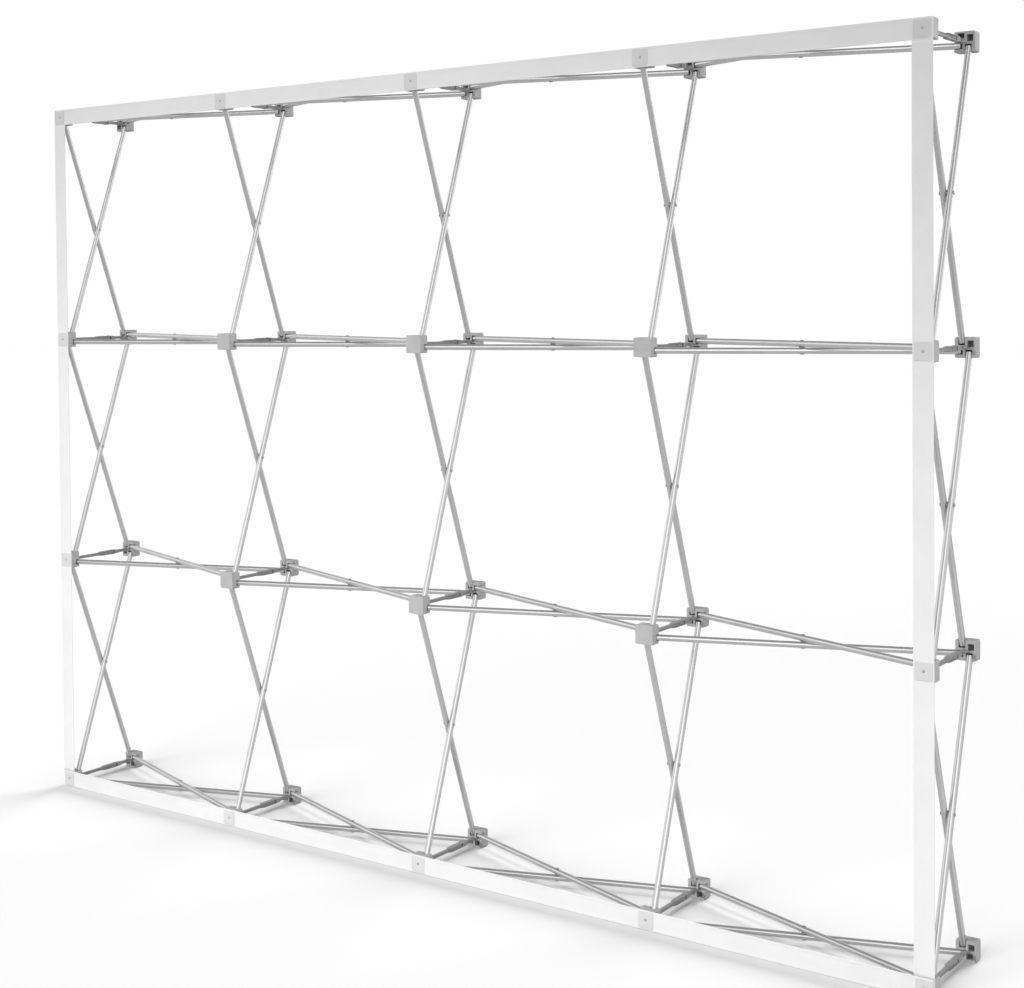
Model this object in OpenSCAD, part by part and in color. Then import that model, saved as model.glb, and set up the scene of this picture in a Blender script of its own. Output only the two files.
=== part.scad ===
// Pop up display backwall: a straight folding frame of hubs and scissor tubes.
// Origin: on the floor, under the middle of the frame. +X to the right seen from the front,
// +Y to the back, +Z up. The front of the frame, which carries the tape, faces -Y.

/* [Frame] */
// Columns of hubs across the width
columns = 5; // [3:1:5]
// Rows of hubs up the height
rows = 4; // [3:1:4]
// Distance between the middles of two columns of hubs
pitch_x = 730; // [600:10:800]
// Distance between the middles of two rows of hubs
pitch_z = 730; // [600:10:800]
// Depth from the outer face of a front hub to the outer face of a rear hub
frame_depth = 304; // [280:2:340]

/* [Tubes] */
// Outer diameter of a scissor tube
tube_d = 16; // [15:0.5:16.5]
// Wall of a scissor tube
tube_wall = 1; // [0.8:0.1:1.5]
// Length of tube past the hub pin, inside the hub
tube_tail = 4; // [3.5:0.5:5.5]
// Length of the plug inside a tube, from the hub pin
plug_reach = 26; // [20:1:40]
// Radius of the plug's rounded nose, about the hub pin
nose_r = 7.8; // [7:0.1:8]
// Width of the plug's nose
nose_w = 12; // [10:0.5:13]

/* [Hubs] */
// Width and height of a hub
hub_w = 50; // [49:0.5:56]
// Depth of a hub, without the tongue for the lock arm
hub_depth = 32; // [30:0.5:38]
// Radius of the hub's four long edges
hub_corner_r = 4; // [2:0.5:6]
// Wall between a socket and the outside of the hub
hub_wall = 3; // [2.5:0.1:4]
// Wall beside a socket that holds no tube, which is left whole
blank_wall = 4; // [3:0.5:6]
// Thickness of the face behind the sockets
hub_face_t = 5; // [3:0.5:8]
// Distance of a hub pin from the middle of the hub
pivot_out = 16; // [15.5:0.1:17]
// Distance of a hub pin from the hub's outer face
pivot_depth = 27; // [25:0.5:28]
// How far a hub pin goes past the middle of the hub
pin_past_middle = 4; // [2:0.5:5]
// Depth of the end of a hub pin below the side of the hub
pin_recess = 0.6; // [0.2:0.1:1.5]

/* [Pins and rivets] */
// Diameter of a hub pin
hub_pin_d = 4; // [3:0.5:5]
// Diameter of the rivet where two tubes cross
rivet_d = 5; // [4:0.5:6]
// Diameter of the rivet's head
rivet_head_d = 10; // [8:0.5:12]
// Height of the rivet's head
rivet_head_t = 1.8; // [1:0.1:3]
// Diameter of the washer between two crossing tubes
washer_d = 14; // [12:0.5:18]
// Thickness of the washer between two crossing tubes
washer_t = 1.2; // [0.8:0.1:1.6]
// Diameter of the pin that a lock arm turns on
arm_pin_d = 4; // [3:0.5:4.5]
// Diameter of the head of that pin
arm_pin_head_d = 7; // [6:0.5:8]
// Thickness of the head of that pin
arm_pin_head_t = 0.9; // [0.5:0.1:1]

/* [Lock arms] */
// Distance of a lock arm's pin from the hub's inner face
arm_stand_off = 11; // [10:0.5:16]
// Width of a lock arm's bar
arm_w = 8; // [6:0.5:10]
// Height of a lock arm's bar
arm_h = 9; // [8.5:0.5:10]
// Radius of the tongue on the hub, and of the arm's end, about the arm's pin
arm_root_r = 5; // [4:0.5:5]
// Thickness of the tongue on the hub
tongue_t = 4; // [3.5:0.5:4.5]
// Depth of the hollow along each side of an arm's bar
arm_hollow = 1.6; // [1:0.1:2]
// Height of the hollow along each side of an arm's bar
arm_hollow_h = 5; // [4:0.5:6]
// Distance of the catch's cross pin from the outer face of the rear hub
catch_y = 108; // [100:1:118]
// Diameter of the catch's cross pin
latch_pin_d = 5; // [4:0.5:6]
// Radius of the hook's head about the cross pin
hook_r = 6.5; // [6:0.1:7]
// Width of the catch
catch_w = 14; // [14:0.5:16]
// Height of the catch
catch_h = 13.4; // [13:0.2:16]
// How far the catch's cheeks reach past the cross pin, over the hook arm
cheek_reach = 56; // [46:1:60]
// Length of the solid block behind the hook's head
catch_block = 22; // [10:1:26]
// Length over which each end of the catch tapers, seen from the side
catch_taper = 18; // [8:1:20]
// Thickness of a cheek at its tip
cheek_tip_t = 1; // [0.8:0.1:1.4]
// Height of the bumps over the cross pin
bump_t = 1.2; // [0.8:0.1:1.6]
// Diameter of the bumps over the cross pin
bump_d = 8; // [7:0.5:9]

/* [Tape] */
// Width of the hook and loop tape round the front
tape_w = 50; // [40:1:50]
// Thickness of the tape
tape_t = 1.5; // [1:0.1:2.5]
// Side of the square pad on the tape over each hub
pad_w = 44; // [36:1:44]
// Thickness of that pad
pad_t = 0.8; // [0.5:0.1:1.5]
// Diameter of the screw that holds the tape on a hub
screw_d = 3.5; // [3:0.5:4]
// Length of that screw under its head
screw_len = 16; // [12:1:20]
// Diameter of the screw's countersunk head
screw_head_d = 8; // [7:0.5:9]
// Depth of the screw's head below the face of the pad
screw_sink = 0.2; // [0.1:0.1:0.5]

/* [Clearances] */
// Gap between a tube and each side of its socket
socket_gap = 0.3; // [0.2:0.05:0.4]
// Gap round the end of a tube as it turns in its socket
swing_gap = 1.6; // [1:0.1:2]
// Gap between the deployed tube and the sill of its socket
sill_gap = 0.6; // [0.4:0.1:1]
// Gap round a pin, rivet or plug that sits still in its hole
seat_gap = 0.04; // [0.02:0.01:0.06]
// Gap round a pin that an arm turns on
running_gap = 0.08; // [0.05:0.01:0.1]
// Gap between flat faces that slide past each other
slide_gap = 0.3; // [0.2:0.05:0.5]
// Gap round the cross pin in the hook's notch, which lets it swing out
notch_gap = 0.5; // [0.4:0.05:0.7]
// Gap between the hook's head and the block behind it
tip_gap = 2; // [1.5:0.1:3]

/* [Hidden] */
$fn = 48;
over = 1;                               // length by which a cut runs past the solid
front_cover = tape_t + pad_t;
screw_head_t = (screw_head_d - screw_d) / 2;
face_y = -(frame_depth - front_cover) / 2;
rear_y = face_y + frame_depth;
half_w = hub_w / 2;

tube_r = tube_d / 2;
lane = (tube_d + washer_t) / 2;         // a tube's distance from the plane through the hubs' middles
socket_w = tube_d + 2 * socket_gap;
socket_out = half_w - hub_wall;
tail_sweep = norm([tube_tail, tube_r]); // radius that the end of a tube sweeps about its pin
socket_in = pivot_out - tail_sweep - swing_gap;

arm_pivot = hub_depth + arm_stand_off;  // from a hub's outer face
fork_gap = tongue_t + 2 * slide_gap;
fork_reach = arm_root_r + slide_gap + running_gap;
hollow_end = 9;                         // solid length left at each end of an arm's hollow
cheek_gap = arm_h + 2 * slide_gap;
latch_y = frame_depth - catch_y;        // the cross pin, from the front hub's outer face
notch_w = latch_pin_d + 2 * notch_gap;
bump_top = catch_h / 2 + bump_t;

frame_w = (columns - 1) * pitch_x + hub_w;
frame_h = (rows - 1) * pitch_z + hub_w;

arm_names = [for (c = [1 : columns]) for (r = [1 : rows]) str("_arm_c", c, "_r", r)];

function col_x(c) = (c - (columns + 1) / 2) * pitch_x;
function row_z(r) = half_w + (r - 1) * pitch_z;
function on_edge(c, r) = c == 1 || c == columns || r == 1 || r == rows;

// A scissor's reach from its middle to a hub pin, along the row or column and in depth
function reach_along(pitch) = pitch / 2 - pivot_out;
reach_deep = frame_depth / 2 - pivot_depth;
function tube_angle(pitch) = atan2(reach_deep, reach_along(pitch));
function pin_to_pin(pitch) = 2 * norm([reach_along(pitch), reach_deep]);

// The sill over which a tube leaves its socket, from the hub's outer face: it clears the
// deployed tube, and the end of the tube as that turns past the wall
function sill_y(pitch) = pivot_depth + (socket_out - pivot_out) * tan(tube_angle(pitch))
    - tube_r / cos(tube_angle(pitch)) - sill_gap;
turning_sill = pivot_depth - swing_gap
    - sqrt(max(0, pow(tail_sweep, 2) - pow(socket_out - pivot_out, 2)));
sill = min(sill_y(pitch_x), sill_y(pitch_z), turning_sill);

// ---- places ----

// Local frame of a hub: its outer face at y = 0, the inside of the frame towards +y
module at_front(c, r) translate([col_x(c), face_y, row_z(r)]) children();
module at_rear(c, r) translate([col_x(c), rear_y, row_z(r)]) rotate([0, 0, 180]) children();

module each_hub() for (c = [1 : columns]) for (r = [1 : rows]) {
    $column = c;
    $row = r;
    children();
}

// Local frame of a scissor: its middle at the origin, its length along x, its pins along z
module row_bay(c, r)
    translate([(col_x(c) + col_x(c + 1)) / 2, (face_y + rear_y) / 2, row_z(r)]) children();
module column_bay(c, r)
    translate([col_x(c), (face_y + rear_y) / 2, (row_z(r) + row_z(r + 1)) / 2])
        rotate([0, -90, 0]) children();

module each_bay() {
    for (r = [1 : rows]) for (c = [1 : columns - 1]) row_bay(c, r) {
        $pitch = pitch_x;
        children();
    }
    for (c = [1 : columns]) for (r = [1 : rows - 1]) column_bay(c, r) {
        $pitch = pitch_z;
        children();
    }
}

// The two tubes of a scissor, each along its own x
module each_tube(pitch) for (side = [-1, 1]) {
    $side = side;
    translate([0, 0, side * lane]) rotate([0, 0, -side * tube_angle(pitch)]) children();
}

// ---- small shapes ----

module pin_along_z(d, from_z, to_z) translate([0, 0, from_z]) cylinder(d = d, h = to_z - from_z);

module rounded_square(w, r) {
    square([w - 2 * r, w], center = true);
    square([w, w - 2 * r], center = true);
    for (x = [-1, 1]) for (y = [-1, 1]) translate([x, y] * (w / 2 - r)) circle(r);
}

// A flat bar along y with round ends, from y0 to y1 between the centres of its ends
module flat_bar(w, y0, y1, h) linear_extrude(h, center = true) {
    translate([-w / 2, y0]) square([w, y1 - y0]);
    translate([0, y0]) circle(w / 2);
    translate([0, y1]) circle(w / 2);
}

// ---- hubs ----

// The ways out of a hub, to +x, +z, -x and -z of its own frame: whether a tube leaves there
function front_ways(c, r) = [c < columns, r < rows, c > 1, r > 1];
function rear_ways(c, r) = [c > 1, r < rows, c < columns, r > 1];

module hub_socket(has_tube) {
    lane_z = -lane - socket_w / 2;
    end_x = has_tube ? socket_out : half_w - blank_wall;
    translate([socket_in, hub_face_t, lane_z])
        cube([end_x - socket_in, hub_depth, socket_w]);
    if (has_tube) translate([socket_out - over, sill, lane_z])
        cube([hub_wall + 2 * over, hub_depth, socket_w]);
    translate([pivot_out, pivot_depth, 0])
        pin_along_z(hub_pin_d + 2 * seat_gap, -half_w - over, pin_past_middle);
}

module hub(ways) difference() {
    union() {
        rotate([-90, 0, 0]) linear_extrude(hub_depth) rounded_square(hub_w, hub_corner_r);
        flat_bar(2 * arm_root_r, hub_depth - arm_root_r - over, arm_pivot, tongue_t);
    }
    for (turn = [0 : 3]) rotate([0, -90 * turn, 0]) hub_socket(ways[turn]);
    translate([0, arm_pivot, 0])
        pin_along_z(arm_pin_d + 2 * seat_gap, -tongue_t, tongue_t);
}

module front_hubs() color("#b4b5b6") each_hub() at_front($column, $row) difference() {
    hub(front_ways($column, $row));
    if (on_edge($column, $row)) tape_screw(seat_gap);
}
module rear_hubs() color("#a2a3a5") each_hub() at_rear($column, $row)
    hub(rear_ways($column, $row));

// ---- scissors ----

module tube(pitch) {
    pins = pin_to_pin(pitch);
    difference() {
        rotate([0, 90, 0]) cylinder(d = tube_d, h = pins + 2 * tube_tail, center = true);
        rotate([0, 90, 0])
            cylinder(d = tube_d - 2 * tube_wall, h = pins + 2 * tube_tail + over, center = true);
        cylinder(d = rivet_d + 2 * seat_gap, h = tube_d + over, center = true);
        for (end = [-1, 1]) translate([end * pins / 2, 0, 0])
            cylinder(d = hub_pin_d + 2 * seat_gap, h = tube_d + over, center = true);
    }
}

module row_tubes(r) color("#c4c6c8")
    for (c = [1 : columns - 1]) row_bay(c, r) each_tube(pitch_x) tube(pitch_x);

module column_tubes(c) color("#c4c6c8")
    for (r = [1 : rows - 1]) column_bay(c, r) each_tube(pitch_z) tube(pitch_z);

// A plug in the end of a tube: the tube runs on towards +x, the hub pin is at the origin
module tube_end_plug() difference() {
    union() {
        translate([-tube_tail, 0, 0]) rotate([0, 90, 0])
            cylinder(d = tube_d - 2 * tube_wall - 2 * seat_gap, h = plug_reach + tube_tail);
        intersection() {
            cylinder(r = nose_r, h = nose_w, center = true);
            translate([-tube_tail - tube_d, -tube_d, -tube_d])
                cube([tube_d, 2 * tube_d, 2 * tube_d]);
        }
    }
    cylinder(d = hub_pin_d + 2 * seat_gap, h = tube_d, center = true);
}

module tube_end_plugs() color("#6f7072") each_bay() each_tube($pitch)
    for (turn = [0, 180]) rotate([0, 0, turn])
        translate([-pin_to_pin($pitch) / 2, 0, 0]) tube_end_plug();

module hub_pins() color("#8c8e91") each_bay()
    for (side = [-1, 1]) for (end = [-1, 1])
        translate([end * reach_along($pitch), -side * end * reach_deep, 0])
            rotate([side > 0 ? 180 : 0, 0, 0])
                pin_along_z(hub_pin_d, -half_w + pin_recess, pin_past_middle - pin_recess);

module scissor_rivets() color("#8c8e91") each_bay() {
    grip = lane + tube_r;
    cylinder(d = rivet_d, h = 2 * grip, center = true);
    cylinder(d = washer_d, h = washer_t, center = true);
    for (turn = [0, 180]) rotate([turn, 0, 0]) translate([0, 0, grip])
        cylinder(d1 = rivet_head_d, d2 = rivet_d, h = rivet_head_t);
}

// ---- lock arms ----

module arm_hollows(from_y, to_y) for (side = [-1, 1])
    translate([side * arm_w / 2, (from_y + to_y) / 2, 0])
        cube([2 * arm_hollow, to_y - from_y, arm_hollow_h], center = true);

// The end that straddles the hub's tongue: its slot and its pin hole
module arm_root_cut() translate([0, arm_pivot, 0]) {
    translate([-hub_w, -hub_w, -fork_gap / 2]) cube([2 * hub_w, hub_w + fork_reach, fork_gap]);
    cylinder(d = arm_pin_d + 2 * running_gap, h = 2 * arm_h, center = true);
}

// In a front hub's frame. The notch is open to -x, so the hook swings off the pin to +x
module hook_arm() difference() {
    union() {
        flat_bar(arm_w, arm_pivot, latch_y, arm_h);
        translate([0, arm_pivot, 0]) cylinder(r = arm_root_r, h = arm_h, center = true);
        translate([0, latch_y, 0]) cylinder(r = hook_r, h = arm_h, center = true);
    }
    arm_root_cut();
    arm_hollows(arm_pivot + fork_reach + hollow_end, latch_y - hook_r - hollow_end);
    translate([0, latch_y, 0]) {
        cylinder(d = notch_w, h = arm_h + over, center = true);
        translate([-hook_r - over, -notch_w / 2, -arm_h])
            cube([hook_r + over, notch_w, 2 * arm_h]);
    }
}

// The catch seen from the side, from y0 to y1, with both its ends tapered
module catch_profile(y0, y1) rotate([90, 0, 90]) linear_extrude(2 * catch_w, center = true) {
    tip = cheek_gap / 2 + cheek_tip_t;
    top = catch_h / 2;
    polygon([[y0, -arm_h / 2], [y0 + catch_taper, -top], [y1 - catch_taper, -top], [y1, -tip],
        [y1, tip], [y1 - catch_taper, top], [y0 + catch_taper, top], [y0, arm_h / 2]]);
}

// In a rear hub's frame. Its cheeks lie above and below the hook arm, and carry the pin
module catch_arm() {
    block_end = catch_y - hook_r - tip_gap;
    block_start = block_end - catch_block;
    cheek_end = catch_y + cheek_reach;
    difference() {
        union() {
            flat_bar(arm_w, arm_pivot, block_end - arm_w / 2, arm_h);
            translate([0, arm_pivot, 0]) cylinder(r = arm_root_r, h = arm_h, center = true);
            difference() {
                intersection() {
                    union() {
                        translate([-catch_w / 2, block_start, -catch_h / 2])
                            cube([catch_w, catch_block, catch_h]);
                        flat_bar(catch_w, block_end, cheek_end - catch_w / 2, catch_h);
                    }
                    catch_profile(block_start, cheek_end);
                }
                translate([-catch_w, block_end, -cheek_gap / 2])
                    cube([2 * catch_w, cheek_reach + hub_w, cheek_gap]);
            }
            translate([0, catch_y, 0])
                cylinder(d = latch_pin_d, h = catch_h, center = true);
            translate([0, catch_y, 0]) for (turn = [0, 180]) rotate([turn, 0, 0])
                pin_along_z(bump_d, catch_h / 2 - over, bump_top);
        }
        arm_root_cut();
        arm_hollows(arm_pivot + fork_reach + hollow_end, block_start - hollow_end / 2);
    }
}

module arm_pin() translate([0, arm_pivot, 0]) {
    cylinder(d = arm_pin_d, h = arm_h + 2 * slide_gap, center = true);
    for (turn = [0, 180]) rotate([turn, 0, 0])
        pin_along_z(arm_pin_head_d, arm_h / 2 + slide_gap, arm_h / 2 + slide_gap + arm_pin_head_t);
}

module lock_arm_pins() color("#8c8e91") each_hub() {
    at_front($column, $row) arm_pin();
    at_rear($column, $row) arm_pin();
}

// ---- tape ----

// A strip on the front of the hubs, w by h, with its middle at x, z
module tape_strip(x, z, w, h) translate([x - w / 2, face_y - tape_t, z - h / 2])
    cube([w, tape_t, h]);

// In a front hub's frame: the screw through pad and tape, or with a gap the hole that it fills
module tape_screw(gap) rotate([90, 0, 0]) {
    head_top = front_cover - screw_sink;
    pin_along_z(screw_d + 2 * gap, front_cover - screw_len - gap, head_top);
    translate([0, 0, head_top - screw_head_t])
        cylinder(d1 = screw_d + 2 * gap, d2 = screw_head_d + 2 * gap, h = screw_head_t);
    if (gap > 0) pin_along_z(screw_head_d + 2 * gap, head_top, front_cover + over);
}

module each_tape_screw() for (c = [1 : columns]) for (r = [1 : rows]) if (on_edge(c, r))
    at_front(c, r) children();

module row_tape(r) color("#dcdcdb") difference() {
    tape_strip(0, row_z(r), frame_w, tape_w);
    each_tape_screw() tape_screw(seat_gap);
}

module side_tapes() color("#e6e6e4") difference() {
    for (c = [1, columns])
        tape_strip(col_x(c), frame_h / 2, tape_w, row_z(rows) - row_z(1) - tape_w);
    each_tape_screw() tape_screw(seat_gap);
}

module tape_pads() color("#c9c9c8") each_tape_screw() difference() {
    translate([-pad_w / 2, -front_cover, -pad_w / 2]) cube([pad_w, pad_t, pad_w]);
    tape_screw(seat_gap);
}

module tape_screws() color("#77787a") each_tape_screw() tape_screw(0);

// ---- the frame ----

front_hubs();
rear_hubs();
hub_pins();
tube_end_plugs();
scissor_rivets();
lock_arm_pins();
row_tape(rows);  // top_tape
row_tape(1);  // bottom_tape
side_tapes();
tape_pads();
tape_screws();
for (r = [1 : rows]) row_tubes(r);
for (c = [1 : columns]) column_tubes(c);
for (c = [1 : columns]) for (r = [1 : rows]) {
    place = str("_arm_c", c, "_r", r);
    color("#77787a") at_front(c, r) hook_arm();
    color("#77787a") at_rear(c, r) catch_arm();
}
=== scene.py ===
import math

import bpy
from mathutils import Matrix, Vector, noise


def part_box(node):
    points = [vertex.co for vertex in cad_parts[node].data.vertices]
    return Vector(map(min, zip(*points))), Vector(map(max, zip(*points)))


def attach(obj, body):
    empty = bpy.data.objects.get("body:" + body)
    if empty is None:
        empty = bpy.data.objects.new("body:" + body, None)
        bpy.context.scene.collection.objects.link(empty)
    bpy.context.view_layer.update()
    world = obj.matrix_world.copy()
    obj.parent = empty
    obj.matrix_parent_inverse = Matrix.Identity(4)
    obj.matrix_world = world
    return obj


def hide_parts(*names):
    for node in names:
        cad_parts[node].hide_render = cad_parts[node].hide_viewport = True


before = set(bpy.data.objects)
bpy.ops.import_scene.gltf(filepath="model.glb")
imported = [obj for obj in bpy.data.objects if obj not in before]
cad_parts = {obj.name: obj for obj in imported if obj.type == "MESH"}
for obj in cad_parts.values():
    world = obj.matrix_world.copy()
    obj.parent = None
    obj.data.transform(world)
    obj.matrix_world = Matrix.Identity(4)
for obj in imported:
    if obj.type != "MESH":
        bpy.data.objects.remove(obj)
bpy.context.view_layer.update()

# ---- sizes, in metres, read from the frame or named here ----

COLUMNS, ROWS = 5, 4
HUBS_LOW, HUBS_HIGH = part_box("front_hubs")
TAPE_LOW, TAPE_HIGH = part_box("top_tape")
PADS_LOW, PADS_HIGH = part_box("tape_pads")
TAPE_W = TAPE_HIGH.z - TAPE_LOW.z
FACE_Y = HUBS_LOW.y                      # the plane on which the tape lies
HALF_HUB = TAPE_W / 2
PITCH_X = (HUBS_HIGH.x - HUBS_LOW.x - 2 * HALF_HUB) / (COLUMNS - 1)
PITCH_Z = (HUBS_HIGH.z - HUBS_LOW.z - 2 * HALF_HUB) / (ROWS - 1)
REAR_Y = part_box("rear_hubs")[1].y
MIDDLE_Y = (FACE_Y + REAR_Y) / 2
TUBE_R = 0.008
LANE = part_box("row_1_tubes")[1].z - HALF_HUB - TUBE_R      # a tube's distance from the hubs' plane
TUBE_PIN_X, TUBE_PIN_DEEP = 0.016, 0.027                   # a hub pin, from the hub's middle and face


def col_x(c):
    return (c - (COLUMNS + 1) / 2) * PITCH_X


def row_z(r):
    return HALF_HUB + (r - 1) * PITCH_Z


def tube_angle(pitch):
    return math.atan2((REAR_Y - FACE_Y) / 2 - TUBE_PIN_DEEP, pitch / 2 - TUBE_PIN_X)


# ---- camera ----

PICTURE_W, PICTURE_H = 1024, 988
LENS_PX = 1684.07                        # focal length, in pixels of the picture
CENTRE_PX = (440.0, 334.6)               # where the lens axis meets the picture
CAMERA_AT = (2.865, FACE_Y - 3.713, 1.630)
CAMERA_LEFT, CAMERA_DOWN, CAMERA_ROLL = 36.74, 1.45, -0.54     # degrees


def make_camera():
    data = bpy.data.cameras.new("camera")
    camera = bpy.data.objects.new("camera", data)
    bpy.context.scene.collection.objects.link(camera)
    turn = Matrix.Rotation(math.radians(CAMERA_LEFT), 4, "Z")
    pitch = Matrix.Rotation(math.radians(90 - CAMERA_DOWN), 4, "X")
    roll = Matrix.Rotation(math.radians(CAMERA_ROLL), 4, "Z")
    camera.matrix_world = Matrix.Translation(CAMERA_AT) @ turn @ pitch @ roll
    data.sensor_width = 36.0
    data.lens = LENS_PX / PICTURE_W * data.sensor_width
    data.shift_x = (PICTURE_W / 2 - CENTRE_PX[0]) / PICTURE_W
    data.shift_y = (CENTRE_PX[1] - PICTURE_H / 2) / PICTURE_W
    data.clip_start, data.clip_end = 0.05, 200.0
    bpy.context.scene.camera = camera


make_camera()

# ---- material helpers ----


class Look:
    """A Principled material of a grey tone, and short ways to add nodes to it."""

    def __init__(self, name, tone, roughness, metallic=0.0):
        self.material = bpy.data.materials.new(name)
        self.material.use_nodes = True
        self.nodes = self.material.node_tree.nodes
        self.links = self.material.node_tree.links
        self.shader = self.nodes["Principled BSDF"]
        self.shader.inputs["Base Color"].default_value = (tone, tone, tone, 1)
        self.shader.inputs["Roughness"].default_value = roughness
        self.shader.inputs["Metallic"].default_value = metallic
        self.place = self.add("ShaderNodeTexCoord").outputs["Object"]

    def add(self, kind, **values):
        node = self.nodes.new(kind)
        for key, value in values.items():
            setattr(node, key, value)
        return node

    def link(self, start, end):
        self.links.new(start, end)

    def scaled(self, place, scale):
        node = self.add("ShaderNodeMapping")
        node.inputs["Scale"].default_value = scale
        self.link(place, node.inputs["Vector"])
        return node.outputs["Vector"]

    def noise(self, place, scale, detail, roughness=0.5):
        node = self.add("ShaderNodeTexNoise")
        node.inputs["Scale"].default_value = scale
        node.inputs["Detail"].default_value = detail
        node.inputs["Roughness"].default_value = roughness
        self.link(place, node.inputs["Vector"])
        return node.outputs["Fac"]

    def ramp(self, value, *stops):
        """A value as a tone. Each stop is (position, tone)."""
        node = self.add("ShaderNodeValToRGB")
        elements = node.color_ramp.elements
        while len(elements) < len(stops):
            elements.new(0.5)
        for element, (at, tone) in zip(elements, stops):
            element.position = at
            element.color = (tone, tone, tone, 1)
        self.link(value, node.inputs["Fac"])
        return node.outputs["Color"]

    def math(self, operation, a, b=None):
        """An operation on numbers or sockets."""
        node = self.add("ShaderNodeMath", operation=operation)
        for socket, value in zip(node.inputs, (a, b)):
            if isinstance(value, bpy.types.NodeSocket):
                self.link(value, socket)
            elif value is not None:
                socket.default_value = value
        return node.outputs["Value"]

    def mix(self, factor, a, b):
        """Colour a, turning into b as the factor goes from 0 to 1."""
        node = self.add("ShaderNodeMix", data_type="RGBA")
        factor_in, a_in, b_in = node.inputs[0], node.inputs[6], node.inputs[7]
        for socket, value in ((factor_in, factor), (a_in, a), (b_in, b)):
            if isinstance(value, bpy.types.NodeSocket):
                self.link(value, socket)
            else:
                socket.default_value = (*value, 1) if isinstance(value, tuple) else value
        return node.outputs[2]

    def base_color(self, socket):
        self.link(socket, self.shader.inputs["Base Color"])

    def roughness(self, socket):
        self.link(socket, self.shader.inputs["Roughness"])

    def bump(self, height, distance, strength):
        node = self.add("ShaderNodeBump")
        node.inputs["Distance"].default_value = distance
        node.inputs["Strength"].default_value = strength
        self.link(height, node.inputs["Height"])
        self.link(node.outputs["Normal"], self.shader.inputs["Normal"])


def dress(node, look):
    """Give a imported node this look."""
    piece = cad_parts[node]
    piece.data.materials.clear()
    piece.data.materials.append(look.material)
    return piece


def grey(level):
    return (level, level, level)


# Radius of the moulded edges. A wider one tears narrow ledges of the hubs and the tips of the hooks
HUB_EDGE, ARM_EDGE = 0.0001, 0.0002
SHARP = 35                               # degrees between two faces that meet in such an edge
FLAT = 1                                 # degrees between two faces that are one flat
WELD_GAP = 0.00001


def break_edges(piece, radius):
    """Round the sharp edges of a moulded piece a little, once each flat is one face."""
    weld = piece.modifiers.new("weld", "WELD")
    weld.merge_threshold = WELD_GAP
    flats = piece.modifiers.new("flats", "DECIMATE")
    flats.decimate_type, flats.angle_limit = "DISSOLVE", math.radians(FLAT)
    bevel = piece.modifiers.new("bevel", "BEVEL")
    bevel.width, bevel.segments, bevel.angle_limit = radius, 2, math.radians(SHARP)
    bevel.limit_method, bevel.use_clamp_overlap, bevel.harden_normals = "ANGLE", False, True


# ---- materials ----


LINES_ALONG, LINES_ACROSS = 6, 900       # noise per metre along and across a tube's draw lines
TUBE_DARK, TUBE_LIGHT = 0.56, 0.66
TUBE_PATCHES = 0.35                      # share of patches in the tone, the rest is draw lines


def tube_look(name, along):
    """Satin anodised aluminium. Draw lines run along the tubes, which cross in the plane of the
    row or column."""
    look = Look(name, 0.6, 0.27, metallic=0.85)
    place = look.add("ShaderNodeSeparateXYZ")
    look.link(look.place, place.inputs["Vector"])
    # side is 1 or -1, for the two lanes in which the crossing tubes of a row or column lie
    if along == "row":
        lane = look.math("SUBTRACT", place.outputs["Z"], HALF_HUB)
        lane = look.math("PINGPONG", look.math("ADD", lane, PITCH_Z / 2), PITCH_Z)
        side = look.math("SIGN", look.math("SUBTRACT", lane, PITCH_Z / 2))
        axis, angle = (0, 0, 1), tube_angle(PITCH_X)
        stretch = (LINES_ALONG, LINES_ACROSS, LINES_ACROSS)
    else:
        lane = look.math("SUBTRACT", place.outputs["X"], col_x(1))
        lane = look.math("PINGPONG", look.math("ADD", lane, PITCH_X / 2), PITCH_X)
        side = look.math("SIGN", look.math("SUBTRACT", lane, PITCH_X / 2))
        axis, angle = (1, 0, 0), tube_angle(PITCH_Z)
        stretch = (LINES_ACROSS, LINES_ACROSS, LINES_ALONG)
    turned = look.add("ShaderNodeVectorRotate", rotation_type="AXIS_ANGLE")
    turned.inputs["Axis"].default_value = axis
    look.link(look.place, turned.inputs["Vector"])
    look.link(look.math("MULTIPLY", side, angle), turned.inputs["Angle"])
    lines = look.noise(look.scaled(turned.outputs["Vector"], stretch), 1.0, 4.0, 0.6)
    patches = look.noise(look.place, 9.0, 3.0)
    lined = look.ramp(lines, (0.25, TUBE_DARK), (0.75, TUBE_LIGHT))
    patched = look.ramp(patches, (0.3, TUBE_DARK), (0.7, TUBE_LIGHT))
    look.base_color(look.mix(TUBE_PATCHES, lined, patched))
    look.roughness(look.math("ADD", look.math("MULTIPLY", lines, 0.16), 0.20))
    look.bump(lines, 0.00003, 0.6)
    return look


def plastic_look(name, tone, roughness):
    """Moulded nylon: a fine spark texture, with slow changes of tone and of gloss."""
    look = Look(name, tone, roughness)
    texture = look.noise(look.place, 1400.0, 2.0)
    cloud = look.noise(look.place, 24.0, 4.0, 0.6)
    look.base_color(look.ramp(cloud, (0.3, tone * 0.90), (0.7, tone * 1.07)))
    look.roughness(look.math("ADD", look.math("MULTIPLY", cloud, 0.2), roughness - 0.1))
    look.bump(texture, 0.00006, 0.7)
    return look


def steel_look(name, tone, roughness=0.3):
    """Zinc plate with small cloudy patches."""
    look = Look(name, tone, roughness, metallic=1.0)
    cloud = look.noise(look.place, 160.0, 4.0, 0.65)
    look.base_color(look.ramp(cloud, (0.3, tone * 0.8), (0.7, tone * 1.15)))
    look.roughness(look.math("ADD", look.math("MULTIPLY", cloud, 0.3), roughness - 0.12))
    look.bump(look.noise(look.place, 900.0, 2.0), 0.00003, 0.5)
    return look


RIB_PITCH = 0.0011


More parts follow.
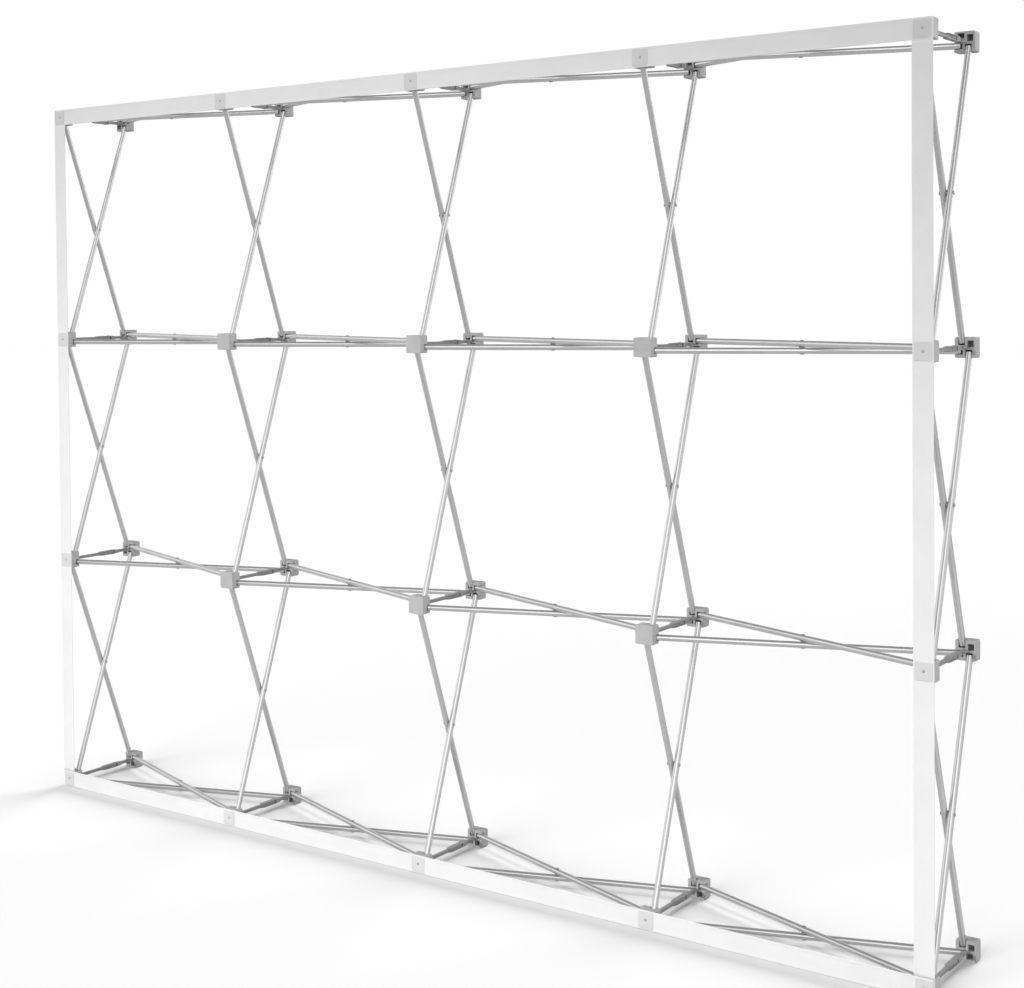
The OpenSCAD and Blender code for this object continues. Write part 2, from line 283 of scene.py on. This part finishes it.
def tape_look(name, tone, pile):
    """Woven tape: ribs across and along, with a short pile on top. pile is its share of the height."""
    look = Look(name, tone, 0.9)
    look.shader.inputs["Sheen Weight"].default_value = 0.25
    look.shader.inputs["Sheen Roughness"].default_value = 0.5
    place = look.add("ShaderNodeSeparateXYZ")
    look.link(look.place, place.inputs["Vector"])
    rib = 2 * math.pi / RIB_PITCH
    waves = [look.math("SINE", look.math("MULTIPLY", place.outputs[axis], rib)) for axis in "XZ"]
    weave = look.math("ADD", look.math("MULTIPLY", look.math("MULTIPLY", *waves), 0.5), 0.5)
    fluff = look.noise(look.place, 2600.0, 3.0, 0.7)
    cloud = look.noise(look.place, 11.0, 4.0, 0.55)
    height = look.math("ADD", look.math("MULTIPLY", weave, 1 - pile), look.math("MULTIPLY", fluff, pile))
    # The tone follows the weave's height: the threads' own tone, made darker in the low places as
    # painted shade in the weave's hollows.
    thread_and_hollow_shade = look.ramp(height, (0.15, tone * 0.86), (0.8, tone * 1.05))
    look.base_color(look.mix(0.5, thread_and_hollow_shade, look.ramp(cloud, (0.3, tone * 0.94), (0.7, tone * 1.03))))
    look.bump(height, 0.0004, 0.5)
    return look


LOOKS = {
    "row_tube": tube_look("aluminium_row_tube", "row"),
    "column_tube": tube_look("aluminium_column_tube", "column"),
    "front_hub": plastic_look("front_hub_nylon", 0.45, 0.5),
    # The rear hubs are the same nylon as the front hubs; their lower tone, 0.40 against 0.45, is painted
    # shade.
    "rear_hub": plastic_look("rear_hub_nylon_painted_shade", 0.40, 0.5),
    "lock_arm": plastic_look("lock_arm_nylon", 0.28, 0.45),
    # The plugs are near black: partly the dark plastic of the plug noses, partly painted shade for the
    # shaded hollow at each tube's end in its socket.
    "plug": plastic_look("tube_plug_plastic_and_painted_socket_shade", 0.06, 0.45),
    "steel": steel_look("zinc_steel", 0.45),
    "screw": steel_look("dull_zinc_steel", 0.40, 0.42),
    "tape": tape_look("tape_weave", 0.86, 0.35),
    "pad": tape_look("pad_weave", 0.70, 0.75),
}

for r in range(1, ROWS + 1):
    dress(f"row_{r}_tubes", LOOKS["row_tube"])
for c in range(1, COLUMNS + 1):
    dress(f"column_{c}_tubes", LOOKS["column_tube"])
for node, look in {"front_hubs": "front_hub", "rear_hubs": "rear_hub", "tube_end_plugs": "plug",
                   "hub_pins": "steel", "lock_arm_pins": "steel"}.items():
    dress(node, LOOKS[look])
for c in range(1, COLUMNS + 1):
    for r in range(1, ROWS + 1):
        for kind in ("hook", "catch"):
            break_edges(dress(f"{kind}_arm_c{c}_r{r}", LOOKS["lock_arm"]), ARM_EDGE)
for node in ("front_hubs", "rear_hubs"):
    break_edges(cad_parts[node], HUB_EDGE)

# ---- pieces built here, which stand for plain nodes ----


def make_piece(name, points, faces, look, slot, *nodes):
    """A closed mesh on the frame, shown in place of the nodes."""
    mesh = bpy.data.meshes.new(name)
    mesh.from_pydata(points, [], faces)
    mesh.shade_smooth()
    piece = bpy.data.objects.new(name, mesh)
    bpy.context.scene.collection.objects.link(piece)
    mesh.materials.append(LOOKS[look].material)
    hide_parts(*nodes)
    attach(piece, "frame")
    return piece


def tube_of_rings(rings):
    """Points and faces of a closed skin over rings of equal length, with a flat face at each end."""
    count = len(rings[0])
    points = [point for ring in rings for point in ring]
    faces = []
    for i in range(len(rings) - 1):
        for j in range(count):
            k = (j + 1) % count
            faces.append((i * count + j, i * count + k, (i + 1) * count + k, (i + 1) * count + j))
    faces.append(tuple(range(count))[::-1])
    faces.append(tuple(range(len(points) - count, len(points))))
    return points, faces


# ---- tape: a woven strip with a thicker selvedge along each edge ----

SELVEDGE_W = 0.0035
GROUND_DIP = 0.00025                     # the ground lies this much lower than the selvedge
TAPE_STEP = 0.008
TAPE_BULGE = 0.0011                      # how far a free span stands off the hubs' plane
TAPE_FLUTTER = 0.0006                    # how far its edges curl
BULGE_NOISE, FLUTTER_NOISE = 2.3, 9.0    # per metre along the tape
TAPE_THICK = TAPE_HIGH.y - TAPE_LOW.y


def tape_outline():
    """The tape's cross section as (across, out) points, from its middle line and the hubs' plane."""
    half, edge = TAPE_W / 2, TAPE_THICK * 0.3
    front = [(-half + SELVEDGE_W * k, TAPE_THICK) for k in (0.3, 0.7)]
    front += [(-half + SELVEDGE_W, TAPE_THICK)]
    front += [(-half + SELVEDGE_W * 1.25, TAPE_THICK - GROUND_DIP)]
    inner = half - SELVEDGE_W * 1.25
    front += [(inner * k / 4, TAPE_THICK - GROUND_DIP) for k in range(-3, 4)]
    front += [(-x, out) for x, out in front[3::-1]]
    side = [(half - edge * 0.3, TAPE_THICK * 0.95), (half, TAPE_THICK * 0.7), (half, TAPE_THICK * 0.3),
            (half - edge * 0.3, TAPE_THICK * 0.05)]
    back = [(half * k / 4, 0.0) for k in range(3, -4, -1)]
    return front + side + back + [(-x, out) for x, out in side[::-1]]


def tape_point(at, across, out, span_at):
    """How far a point stands off. Over a hub the tape lies flat. Between two hubs, where span_at runs
    from 0 to 1, it bulges and its edges flutter."""
    free = max(0.0, math.sin(math.pi * min(1.0, max(0.0, span_at))))
    slow = noise.noise(Vector((at * BULGE_NOISE, 7.0, 0.0)))
    curl = noise.noise(Vector((at * FLUTTER_NOISE, math.copysign(3.0, across), 1.0)))
    curl *= (abs(across) / (TAPE_W / 2)) ** 3
    return out + free ** 0.5 * (TAPE_BULGE * (0.5 + slow) + TAPE_FLUTTER * curl)


def tape_strip(name, start, end, place, pitch, phase, node):
    """A strip from start to end along its own length, in place of the node. place(at, across, out)
    gives a point in the frame. The hubs' middles lie at phase and then every pitch."""
    count = round((end - start) / TAPE_STEP)
    outline = tape_outline()
    rings = []
    for i in range(count + 1):
        at = start + (end - start) * i / count
        beyond = (at - phase) % pitch
        span_at = (beyond - HALF_HUB) / (pitch - 2 * HALF_HUB)
        rings.append([place(at, x, tape_point(at, x, out, span_at)) for x, out in outline])
    piece = make_piece(name, *tube_of_rings(rings), "tape", "tape", node)


def make_tapes():
    left, right = HUBS_LOW.x, HUBS_HIGH.x
    for name, r in (("top_tape_strip", ROWS), ("bottom_tape_strip", 1)):
        tape_strip(name, left, right, lambda at, x, out: (at, FACE_Y - out, row_z(r) + x),
                   PITCH_X, col_x(1), name.replace("_strip", ""))
    low, high = row_z(1) + HALF_HUB, row_z(ROWS) - HALF_HUB
    for name, c in (("left_tape_strip", 1), ("right_tape_strip", COLUMNS)):
        tape_strip(name, low, high, lambda at, x, out: (col_x(c) - x, FACE_Y - out, at),
                   PITCH_Z, row_z(1), "side_tapes")


make_tapes()

# ---- pads: squares of hook tape, cut with a hot knife, drawn in by a screw ----

PAD_HALF = 0.022
PAD_THICK = TAPE_LOW.y - PADS_LOW.y
PAD_POINTS = 64
PILE, PILE_NOISE = 0.06, 260             # the pile's share of the thickness, and its noise per metre
# Each ring: half width, squareness (2 is a circle) and height as a share of the thickness
PAD_RINGS = ((1.0, 14, 0.0), (1.0, 14, 0.45), (0.985, 14, 0.7), (0.96, 14, 0.72), (0.94, 12, 0.95),
             (0.90, 10, 1.0), (0.65, 6, 1.0), (0.42, 4, 0.97), (0.28, 2.6, 0.85), (0.20, 2, 0.5),
             (0.17, 2, 0.15), (0.10, 2, 0.1))


def make_pad(c, r):
    """The pad over the hub of this column and row."""
    x0, z0 = col_x(c), row_z(r)
    rings = []
    for share, power, height in PAD_RINGS:
        ring = []
        for k in range(PAD_POINTS):
            a = 2 * math.pi * k / PAD_POINTS
            reach = (abs(math.cos(a)) ** power + abs(math.sin(a)) ** power) ** (-1 / power)
            x, z = (PAD_HALF * share * reach * f(a) for f in (math.cos, math.sin))
            pile = PILE * noise.noise(Vector((x0 + x, z0 + z, 0)) * PILE_NOISE) * (height > 0.9)
            out = TAPE_THICK + PAD_THICK * (height + pile)
            ring.append((x0 + x, FACE_Y - out, z0 + z))
        rings.append(ring)
    piece = make_piece(f"pad_c{c}_r{r}", *tube_of_rings(rings), "pad", "tape_pad", "tape_pads")


# ---- screws: low domed heads with a cross recess ----

SCREW_HEAD_R = 0.0032
SCREW_RINGS = (1.0, 0.95, 0.86, 0.72, 0.64, 0.56, 0.46, 0.34, 0.2)
SCREW_POINTS = 48
SCREW_SEAT = 0.1                         # where the dome starts, as a share of the pad's thickness
SCREW_FOOT = 0.002                       # how far the head goes on below that
SCREW_DOME = 0.0005
RECESS_HALF_W = 0.00045
RECESS_REACH = 0.0019
RECESS_DEEP = 0.0009


def make_screws(places):
    """All the heads as one piece. The first ring of each is its foot."""
    points, faces = [], []
    base = TAPE_THICK + PAD_THICK * SCREW_SEAT
    for c, r in places:
        rings = []
        for share in (1.0,) + SCREW_RINGS:
            radius = SCREW_HEAD_R * share
            ring = []
            for k in range(SCREW_POINTS):
                a = 2 * math.pi * k / SCREW_POINTS
                x, z = radius * math.cos(a), radius * math.sin(a)
                recess = min(abs(x), abs(z)) < RECESS_HALF_W and radius < RECESS_REACH
                dome = SCREW_DOME * math.sqrt(1 - (share * 0.98) ** 2)
                out = base + dome - RECESS_DEEP * recess if rings else base - SCREW_FOOT
                ring.append((col_x(c) + x, FACE_Y - out, row_z(r) + z))
            rings.append(ring)
        more_points, more_faces = tube_of_rings(rings)
        faces += [tuple(i + len(points) for i in face) for face in more_faces]
        points += more_points
    make_piece("screw_heads", points, faces, "screw", "steel", "tape_screws")


EDGE_HUBS = [(c, r) for c in range(1, COLUMNS + 1) for r in range(1, ROWS + 1)
             if c in (1, COLUMNS) or r in (1, ROWS)]
for c, r in EDGE_HUBS:
    make_pad(c, r)
make_screws(EDGE_HUBS)

# ---- rivets: domed heads and a washer between the tubes ----

RIVET_R, RIVET_HEAD_R, RIVET_HEAD_T = 0.0025, 0.005, 0.0018
WASHER_R, WASHER_HALF = 0.007, LANE - TUBE_R
RIVET_POINTS = 32


def rivet_profile():
    """(radius, along) from one dome's tip to the other's."""
    grip = LANE + TUBE_R
    dome = [(RIVET_HEAD_R * math.sin(a), grip + RIVET_HEAD_T * (0.25 + 0.75 * math.cos(a)))
            for a in (math.radians(k) for k in (8, 25, 42, 58, 74, 90))]
    half = dome + [(RIVET_HEAD_R, grip), (RIVET_R, grip), (RIVET_R, WASHER_HALF),
                   (WASHER_R, WASHER_HALF), (WASHER_R, 0)]
    return half + [(radius, -along) for radius, along in half[-2::-1]]


def make_rivets():
    """All the rivets and washers as one piece, at the middles where two tubes cross."""
    middles = [((col_x(c) + PITCH_X / 2, MIDDLE_Y, row_z(r)), "z")
               for c in range(1, COLUMNS) for r in range(1, ROWS + 1)]
    middles += [((col_x(c), MIDDLE_Y, row_z(r) + PITCH_Z / 2), "x")
                for c in range(1, COLUMNS + 1) for r in range(1, ROWS)]
    points, faces = [], []
    for (x, y, z), axis in middles:
        rings = []
        for radius, along in rivet_profile():
            ring = []
            for k in range(RIVET_POINTS):
                a = 2 * math.pi * k / RIVET_POINTS
                u, v = radius * math.cos(a), radius * math.sin(a)
                ring.append((x + u, y + v, z + along) if axis == "z" else (x + along, y + u, z + v))
            rings.append(ring)
        more_points, more_faces = tube_of_rings(rings)
        faces += [tuple(i + len(points) for i in face) for face in more_faces]
        points += more_points
    make_piece("rivets_and_washers", points, faces, "steel", "steel", "scissor_rivets")


make_rivets()

# ---- floor, backdrop and light ----

FLOOR_HALF, FLOOR_Z = 40.0, -0.0005
# The floor's tone as it is seen, in reflections near the frame and far off, and as it lights the
# frame from below
FLOOR_SEEN, FLOOR_NEAR, FLOOR_FAR, FLOOR_BOUNCE = 0.62, 0.51, 0.37, 0.24
NEAR_ENDS, FAR_STARTS = 0.3, 1.5         # distances between which the reflected tone falls
WALL_LIGHT = 0.5                         # the light that rough faces get from the white wall
CEILING_STARTS, CEILING_FULL = 0.25, 0.65    # sines of the heights between which the wall ends
CEILING_PLAIN, CEILING_REFLECTED = 0.60, 0.30    # the ceiling's share of the wall's light


def make_floor():
    mesh = bpy.data.meshes.new("floor")
    corners = [(-1, -1), (1, -1), (1, 1), (-1, 1)]
    mesh.from_pydata([(x * FLOOR_HALF, y * FLOOR_HALF, 0) for x, y in corners], [], [(0, 1, 2, 3)])
    floor = bpy.data.objects.new("floor", mesh)
    bpy.context.scene.collection.objects.link(floor)
    floor.location.z = FLOOR_Z
    look = Look("floor_paint", FLOOR_SEEN, 0.9)
    look.shader.inputs["Specular IOR Level"].default_value = 0.0
    path = look.add("ShaderNodeLightPath")
    place = look.add("ShaderNodeSeparateXYZ")
    look.link(look.place, place.inputs["Vector"])
    away = look.math("DIVIDE", look.math("ABSOLUTE", place.outputs["Y"]), FAR_STARTS)
    reflected = look.ramp(away, (NEAR_ENDS / FAR_STARTS, FLOOR_NEAR), (1.0, FLOOR_FAR))
    tone = look.mix(path.outputs["Is Glossy Ray"], grey(FLOOR_SEEN), reflected)
    look.base_color(look.mix(path.outputs["Is Diffuse Ray"], tone, grey(FLOOR_BOUNCE)))
    floor.data.materials.append(look.material)


def make_world():
    """White to the camera. Reflections see the same white round the horizon, and a darker ceiling
    above it. What is rough gets WALL_LIGHT, and less from the ceiling."""
    world = bpy.data.worlds.new("studio")
    bpy.context.scene.world = world
    world.use_nodes = True
    nodes, links = world.node_tree.nodes, world.node_tree.links

    def mapped(value, low, high, at_low, at_high):
        node = nodes.new("ShaderNodeMapRange")
        links.new(value, node.inputs["Value"])
        ends = {"From Min": low, "From Max": high, "To Min": at_low, "To Max": at_high}
        for name, end in ends.items():
            if isinstance(end, bpy.types.NodeSocket):
                links.new(end, node.inputs[name])
            else:
                node.inputs[name].default_value = end
        return node.outputs["Result"]

    path = nodes.new("ShaderNodeLightPath")
    upward = nodes.new("ShaderNodeSeparateXYZ")
    links.new(nodes.new("ShaderNodeTexCoord").outputs["Generated"], upward.inputs["Vector"])
    height = upward.outputs["Z"]
    plain = mapped(height, CEILING_STARTS, CEILING_FULL, WALL_LIGHT, WALL_LIGHT * CEILING_PLAIN)
    reflected = mapped(height, CEILING_STARTS, CEILING_FULL, 1.0, CEILING_REFLECTED)
    lighting = mapped(path.outputs["Is Glossy Ray"], 0.0, 1.0, plain, reflected)
    strength = mapped(path.outputs["Is Camera Ray"], 0.0, 1.0, lighting, 1.0)
    background = nodes["Background"]
    background.inputs["Color"].default_value = (1, 1, 1, 1)
    links.new(strength, background.inputs["Strength"])


def add_lamp(name, kind, towards, strength):
    """A lamp that shines along towards."""
    data = bpy.data.lights.new(name, kind)
    data.energy = strength
    lamp = bpy.data.objects.new(name, data)
    lamp.rotation_euler = Vector(towards).to_track_quat("-Z", "Y").to_euler()
    bpy.context.scene.collection.objects.link(lamp)
    return lamp


def light_only(lamp, pieces):
    """Keep a lamp's light to these pieces; all the others still cast its shadows."""
    lit = bpy.data.collections.new("lit_by_" + lamp.name)
    for piece in pieces:
        lit.objects.link(piece)
    lamp.light_linking.receiver_collection = lit


def the_frame():
    """All the pieces but the floor."""
    return [piece for piece in bpy.data.objects if piece.type == "MESH" and piece.name != "floor"]


def add_sun(name, towards, strength, spread, pieces):
    """A far soft lamp for these pieces; spread is its width in degrees."""
    lamp = add_lamp(name, "SUN", towards, strength)
    lamp.data.angle = math.radians(spread)
    light_only(lamp, pieces)
    return lamp


def add_pool(name, aim, towards, distance, strength, width, size):
    """A soft pool of light on the frame, brightest at aim; width is its cone in degrees."""
    lamp = add_lamp(name, "SPOT", towards, strength)
    lamp.location = Vector(aim) - Vector(towards).normalized() * distance
    lamp.data.spot_size, lamp.data.spot_blend = math.radians(width), 1.0
    lamp.data.shadow_soft_size = size
    lamp.visible_glossy = False
    light_only(lamp, the_frame())


make_floor()
make_world()
# Each sun: name, direction, strength, width
add_sun("key", (-0.35, 1.0, -0.5), 0.68, 50, the_frame())
add_sun("right_fill", (-1.0, 0.08, -0.1), 1.3, 40, the_frame()).visible_glossy = False
add_sun("back_fill", (-0.5, -0.8, -0.45), 0.65, 60, the_frame())
add_sun("left_glint", (0.9, 0.3, -0.38), 0.17, 36, the_frame())
add_pool("pool", aim=(0.54, 0.0, -0.5), towards=(0.8, 1.0, -0.59), distance=25.0,
         strength=18600.0, width=15.1, size=0.8)
for name, towards, strength, spread in (("wash_from_behind", (-0.1, -1.0, -0.56), 3.35, 38),
                                        ("wash_from_front", (0.1, 1.0, -0.5), 3.0, 40),
                                        ("wash_from_above", (0.0, 0.0, -1.0), 1.05, 30)):
    add_sun(name, towards, strength, spread, [bpy.data.objects["floor"]])
bpy.context.scene.view_settings.view_transform = "Standard"
